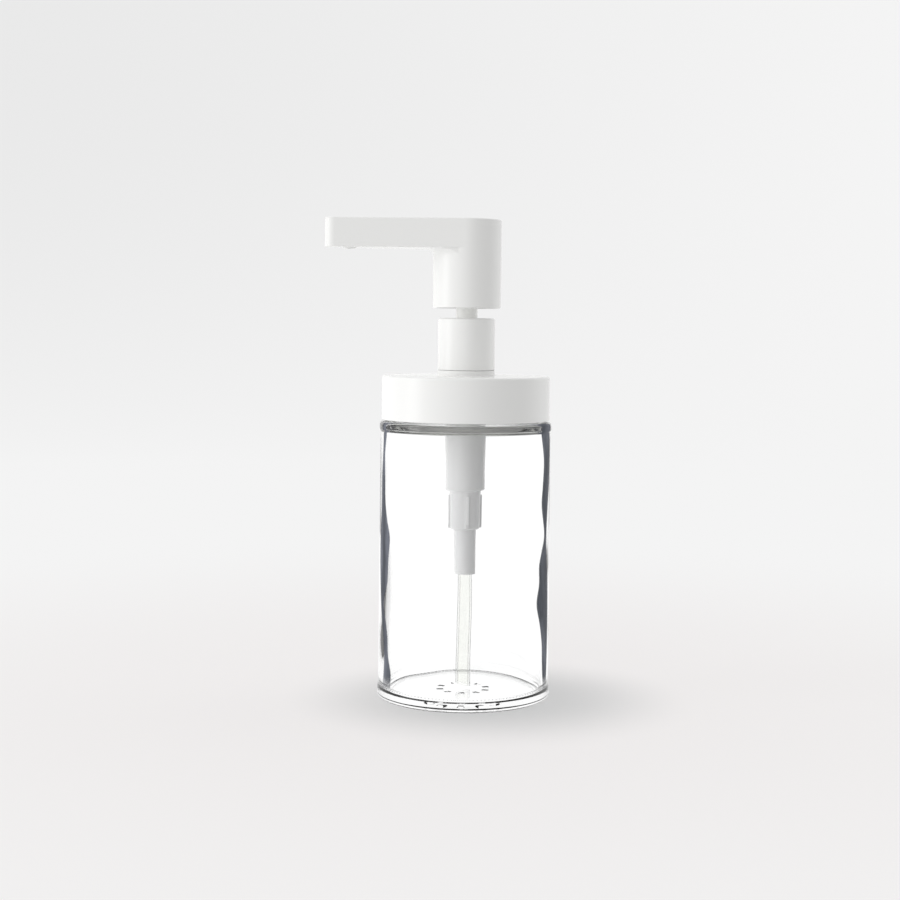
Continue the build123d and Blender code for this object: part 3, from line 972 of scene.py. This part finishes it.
@dataclass
class Valves:
    """Piston and the two steel balls."""

    piston: str = "piston"
    balls: tuple[str, ...] = ("inlet_ball", "outlet_ball")

    def build(self) -> None:
        """Dress piston and balls."""
        dress(self.piston, MouldedPlastic("soft_plastic", (0.76, 0.79, 0.82),
                                          (0.72, 0.75, 0.78), 0.4, 0.5).make())
        polished = Metal("valve_ball", (0.75, 0.75, 0.77), 0.08, 0.06).make()
        for node in self.balls:
            dress(node, polished)


def white_plastic() -> bpy.types.Material:
    """Return the glossy white of all outer mouldings, made once."""
    return bpy.data.materials.get("white_plastic") or MouldedPlastic("white_plastic").make()


def foam_seal() -> bpy.types.Material:
    """Return the foam of both seals, made once."""
    made = bpy.data.materials.get("foam_seal")
    return made or MouldedPlastic("foam_seal", (0.80, 0.80, 0.77), (0.74, 0.74, 0.70),
                                  0.6, 0.8).make()


# ---------------------------------------------------------------------------------------------
# Studio
# ---------------------------------------------------------------------------------------------


class Ray(Enum):
    """Kinds of ray that the backdrop is kept from."""

    DIFFUSE = "diffuse"
    GLOSSY = "glossy"
    TRANSMISSION = "transmission"
    SHADOW = "shadow"
    VOLUME = "volume_scatter"


@dataclass
class Studio:
    """Pale floor and wall, soft light and the camera. Lengths are metres.

    Attributes:
        floor: How far the flat floor reaches.
        cove: Radius of the curve between floor and wall.
        wall: Height of the wall.
        paint: Share of light that floor and wall throw back.
        glow: Light that they give of their own.
        table: Share of that light, by colour, on the floor near the bottle.
        tinted: Distances from the axis between which that colour fades out.
        shade: Share of the light in the middle of the bottle's soft shadow.
        shade_side: To which side that shadow falls, in degrees to the camera's right.
        shade_shift: How far its middle lies from the axis.
        shaded: Distances from its middle between which it fades out.
        turn: Where the camera stands, in degrees round from the front.
        distance: How far the camera stands from the axis.
        height: How high it stands.
        lens: Its focal length, in millimetres.
        roll: How far it leans, in degrees.
        shift: Its lens shift.
        room: Strength of the light from all round.
        flag: How much of it a dark card takes away on the right.
        key: Strength that the tall softbox on the left adds.
        key_width: Half its width, in degrees.
        fill: Strength that the weak light on the right adds.
        inner: Strength of the light that comes in through the glass, on the key's side.
        bright: Strength of the white room seen through the glass.
        flag_side: Where the dark card stands, in degrees to the camera's right.
        key_side: Where the tall softbox stands.
        fill_side: Where the weak light stands.
        inner_side: Where the light through the glass comes from.
        flag_rise: Cosines to the card's direction between which it starts and fully darkens.
        fill_rise: The same for the weak light.
        inner_rise: The same for the light through the glass.
        key_soft: Half the width of the softbox's soft sides, as a cosine.
        key_foot: Heights of a direction between which the softbox fades in at its foot.
        key_top: Height of a direction at which it ends.
        key_fade: Height over which it fades out below that.
    """

    floor: float = 1.2
    cove: float = 0.5
    wall: float = 1.6
    paint: float = 0.34
    glow: float = 0.59
    table: Point = (0.93, 0.90, 0.895)
    tinted: Point = (0.06, 0.5)
    shade: float = 0.55
    shade_side: float = 60.0
    shade_shift: float = 0.012
    shaded: Point = (0.022, 0.085)
    turn: float = -8.0
    distance: float = 0.680
    height: float = 0.1485
    lens: float = 66.7
    roll: float = -0.6
    shift: Point = (-0.0184, -0.1330)
    room: float = 1.0
    flag: float = 0.54
    key: float = 1.9
    key_width: float = 11.0
    fill: float = 0.22
    inner: float = 0.95
    bright: float = 1.06
    flag_side: float = 52.0
    key_side: float = -76.0
    fill_side: float = 112.0
    inner_side: float = -75.0
    flag_rise: Point = (0.40, 0.97)
    fill_rise: Point = (0.90, 0.97)
    inner_rise: Point = (-0.5, 1.0)
    key_soft: float = 0.03
    key_foot: Point = (-0.25, -0.05)
    key_top: float = 0.75
    key_fade: float = 0.2

    def towards(self, degrees: float) -> Vector:
        """Return the level direction that lies this far round to the right of the camera."""
        angle = math.radians(self.turn + degrees)
        return Vector((math.sin(angle), -math.cos(angle), 0.0))

    def backdrop(self) -> bpy.types.Object:
        """Build the floor with its coved wall all round.

        Returns:
            The backdrop.
        """
        bpy.ops.object.select_all(action="DESELECT")
        bpy.ops.mesh.primitive_circle_add(vertices=96, radius=self.floor, fill_type="NGON")
        obj = bpy.context.object
        obj.name = "backdrop"
        start_edit(obj, kind="EDGE")
        bpy.ops.mesh.region_to_loop()
        steps = 10
        for index in range(steps):
            low, high = (math.pi / 2 * step / steps for step in (index, index + 1))
            before = self.floor + self.cove * math.sin(low)
            after = self.floor + self.cove * math.sin(high)
            rise = self.cove * (math.cos(low) - math.cos(high))
            bpy.ops.mesh.extrude_region_move(TRANSFORM_OT_translate={"value": (0, 0, rise)})
            grow = after / before
            bpy.ops.transform.resize(value=(grow, grow, 1.0), center_override=(0, 0, 0))
        bpy.ops.mesh.extrude_region_move(TRANSFORM_OT_translate={"value": (0, 0, self.wall)})
        end_edit()
        bpy.ops.object.shade_smooth()
        material, graph = new_graph("backdrop_paint")
        mottle = graph.noise(6.0, 3.0)
        diffuse = graph.node("ShaderNodeBsdfDiffuse", None, {
            "Color": graph.mix(mottle, (self.paint,) * 3, (self.paint * 0.985,) * 3)})
        near = graph.node("ShaderNodeVectorMath", {"operation": "DISTANCE"}, {
            0: graph.coordinates(),
            1: self.towards(self.shade_side) * self.shade_shift}).outputs["Value"]
        shadow = 1.0 - Number(graph, near).clamped(*self.shaded)
        table = tuple(self.glow * part for part in self.table)
        ground = graph.mix(graph.reach().clamped(*self.tinted), table, (self.glow,) * 3)
        glow = graph.node("ShaderNodeEmission", None, {
            "Color": graph.mix(shadow, ground, (self.glow * self.shade,) * 3),
            "Strength": 1.0})
        both = graph.node("ShaderNodeAddShader", None,
                          {0: diffuse.outputs[0], 1: glow.outputs[0]})
        graph.out(both.outputs[0])
        obj.data.materials.append(material)
        for ray in Ray:
            setattr(obj, f"visible_{ray.value}", False)
        return obj

    def world(self) -> None:
        """Light from all round, less from the right, and a white room seen through the glass."""
        world = bpy.data.worlds.new("studio")
        bpy.context.scene.world = world
        world.use_nodes = True
        graph = Graph(world.node_tree)
        ray = graph.node("ShaderNodeLightPath")
        through = Number(graph, ray.outputs["Is Transmission Ray"])
        scattered = Number(graph, ray.outputs["Diffuse Depth"]).clamped(0.0, 1.0, False)
        toward = graph.node("ShaderNodeTexCoord").outputs["Generated"]
        level = graph.node("ShaderNodeVectorMath", {"operation": "MULTIPLY"},
                           {0: toward, 1: (1.0, 1.0, 0.0)})
        level = graph.node("ShaderNodeVectorMath", {"operation": "NORMALIZE"},
                           {0: level.outputs["Vector"]}).outputs["Vector"]
        height = Number(graph, graph.node("ShaderNodeSeparateXYZ", None,
                                          {"Vector": toward}).outputs["Z"])

        def beside(degrees: float) -> Number:
            """Return the cosine between a direction and the one this far to the camera's right."""
            node = graph.node("ShaderNodeVectorMath", {"operation": "DOT_PRODUCT"},
                              {0: level, 1: self.towards(degrees)})
            return Number(graph, node.outputs["Value"])

        dark = beside(self.flag_side).clamped(*self.flag_rise)
        edge = math.cos(math.radians(self.key_width))
        key = beside(self.key_side).clamped(edge - self.key_soft, edge + self.key_soft)
        key = key * height.clamped(*self.key_foot)
        key = key * (self.key_top - height).clamped(0.0, self.key_fade)
        fill = beside(self.fill_side).clamped(*self.fill_rise) * self.fill
        room = self.room * (1.0 - dark * self.flag) + key * self.key + fill
        strength = room * (1.0 - through) + through * (1.0 - scattered) * self.bright
        within = beside(self.inner_side).clamped(*self.inner_rise) * self.inner
        strength = strength + through * scattered * within
        shader = graph.node("ShaderNodeBackground", None, {
            "Color": (1.0, 1.0, 1.0, 1.0), "Strength": strength})
        graph.node("ShaderNodeOutputWorld", None, {"Surface": shader.outputs[0]})

    def camera(self) -> None:
        """Set the camera."""
        data = bpy.data.cameras.new("camera")
        data.lens = self.lens
        data.sensor_width = 36.0
        data.shift_x, data.shift_y = self.shift
        data.clip_start = 0.01
        obj = bpy.data.objects.new("camera", data)
        obj.location = self.towards(0.0) * self.distance + Vector((0, 0, self.height))
        obj.rotation_euler = [math.radians(part) for part in (90.0, self.roll, self.turn)]
        bpy.context.scene.collection.objects.link(obj)
        bpy.context.scene.camera = obj

    def build(self) -> None:
        """Build the studio."""
        self.backdrop()
        self.world()
        self.camera()
        bpy.context.scene.view_settings.view_transform = "Standard"


def main() -> None:
    """Build the object and its studio."""
    logging.basicConfig(level=logging.INFO, format="%(message)s")
    for part in (Bottle(), PumpCore(), Cap(), Head(), Valves(), Studio()):
        LOG.info("-- %s", type(part).__name__)
        part.build()


if __name__ == "__main__":
    main()
